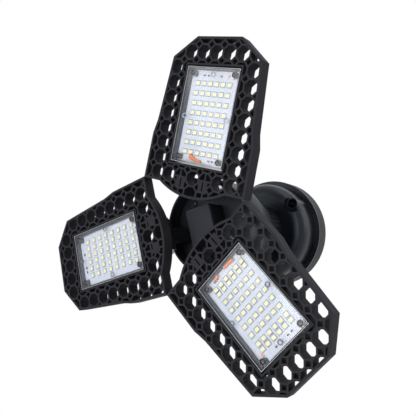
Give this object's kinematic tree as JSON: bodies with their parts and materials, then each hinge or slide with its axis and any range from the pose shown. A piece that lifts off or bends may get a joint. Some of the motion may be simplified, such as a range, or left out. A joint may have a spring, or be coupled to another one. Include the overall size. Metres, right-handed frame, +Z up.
{
  "type": "deformable garage light",
  "caption": "Three-leaf folding LED garage light with lattice frames, on a screw-in hub, hanging in a round ceiling lampholder.",
  "frame": {"origin": "centre of the lampholder's face that goes against the ceiling, midway between its two fixing holes", "axes": "+Z up towards the ceiling, the light hangs below; leaf 1 points along -X and hangs 2.7 degrees past flat, leaves 2 and 3 follow at 120 degree steps and lie flat"},
  "size_m": [0.2509, 0.2786, 0.1721],
  "materials": {
    "frame_coat": "cast aluminium under matte charcoal paint",
    "heat_plate": "plain satin aluminium",
    "board_white": "white solder mask",
    "chip_yellow": "pale yellow phosphor in white cases",
    "clear_lens": "clear polycarbonate, polished",
    "screw_steel": "zinc plated",
    "hub_plastic": "satin charcoal moulding",
    "board_green": "driver board",
    "can_black": "capacitor sleeves",
    "core_ferrite": "ferrite",
    "winding_tape": "yellow tape over copper",
    "cap_metal": "bright rolled metal",
    "insulator_dark": "dark glassy insulator",
    "tip_metal": "soldered contact",
    "ring_matte": "matte charcoal moulding",
    "dome_gloss": "glossy black phenolic moulding",
    "sleeve_black": "black moulding with fine grip ribs",
    "socket_white": "pale insulating body",
    "contact_brass": "plain brass"
  },
  "bodies": {
    "lampholder": {"base_ring": "ring_matte", "base_dome": "dome_gloss", "socket_sleeve": "sleeve_black", "socket_body": "socket_white", "socket_shell": "contact_brass", "socket_contact": "contact_brass", "socket_screws": "screw_steel", "terminal_plates": "contact_brass", "terminal_screws": "screw_steel"},
    "lamp": {"hub_front": "hub_plastic", "hub_rear": "hub_plastic", "hub_screws": "screw_steel", "wiring_cover": "hub_plastic", "wiring_cover_screws": "screw_steel", "driver_board": "board_green", "driver_capacitors": "can_black", "transformer_core": "core_ferrite", "transformer_winding": "winding_tape", "cap_collar": "insulator_dark", "cap_shell": "cap_metal", "cap_insulator": "insulator_dark", "cap_tip": "tip_metal"},
    "leaf_1": {"leaf_1_frame": "frame_coat", "leaf_1_heat_plate": "heat_plate", "leaf_1_led_board": "board_white", "leaf_1_led_chips": "chip_yellow", "leaf_1_lens": "clear_lens", "leaf_1_lens_screws": "screw_steel", "leaf_1_hinge_screw": "screw_steel", "leaf_1_hinge_nut": "screw_steel", "leaf_1_hinge_washers": "screw_steel"},
    "leaf_2": {"leaf_2_frame": "frame_coat", "leaf_2_heat_plate": "heat_plate", "leaf_2_led_board": "board_white", "leaf_2_led_chips": "chip_yellow", "leaf_2_lens": "clear_lens", "leaf_2_lens_screws": "screw_steel", "leaf_2_hinge_screw": "screw_steel", "leaf_2_hinge_nut": "screw_steel", "leaf_2_hinge_washers": "screw_steel"},
    "leaf_3": {"leaf_3_frame": "frame_coat", "leaf_3_heat_plate": "heat_plate", "leaf_3_led_board": "board_white", "leaf_3_led_chips": "chip_yellow", "leaf_3_lens": "clear_lens", "leaf_3_lens_screws": "screw_steel", "leaf_3_hinge_screw": "screw_steel", "leaf_3_hinge_nut": "screw_steel", "leaf_3_hinge_washers": "screw_steel"}
  },
  "joints": [
    {"name": "lamp_turn", "type": "hinge", "parent": "lampholder", "child": "lamp", "pos_m": [0, 0, -0.05], "axis": [0, 0, 1], "range_deg": [-90, 0]},
    {"name": "leaf_1_fold", "type": "hinge", "parent": "lamp", "child": "leaf_1", "pos_m": [-0.032, 0, -0.147], "axis": [0, 1, 0], "range_deg": [0, 82.7]},
    {"name": "leaf_2_fold", "type": "hinge", "parent": "lamp", "child": "leaf_2", "pos_m": [0.016, 0.02771, -0.147], "axis": [0.866, -0.5, 0], "range_deg": [0, 80]},
    {"name": "leaf_3_fold", "type": "hinge", "parent": "lamp", "child": "leaf_3", "pos_m": [0.016, -0.02771, -0.147], "axis": [-0.866, -0.5, 0], "range_deg": [0, 80]}
  ]
}
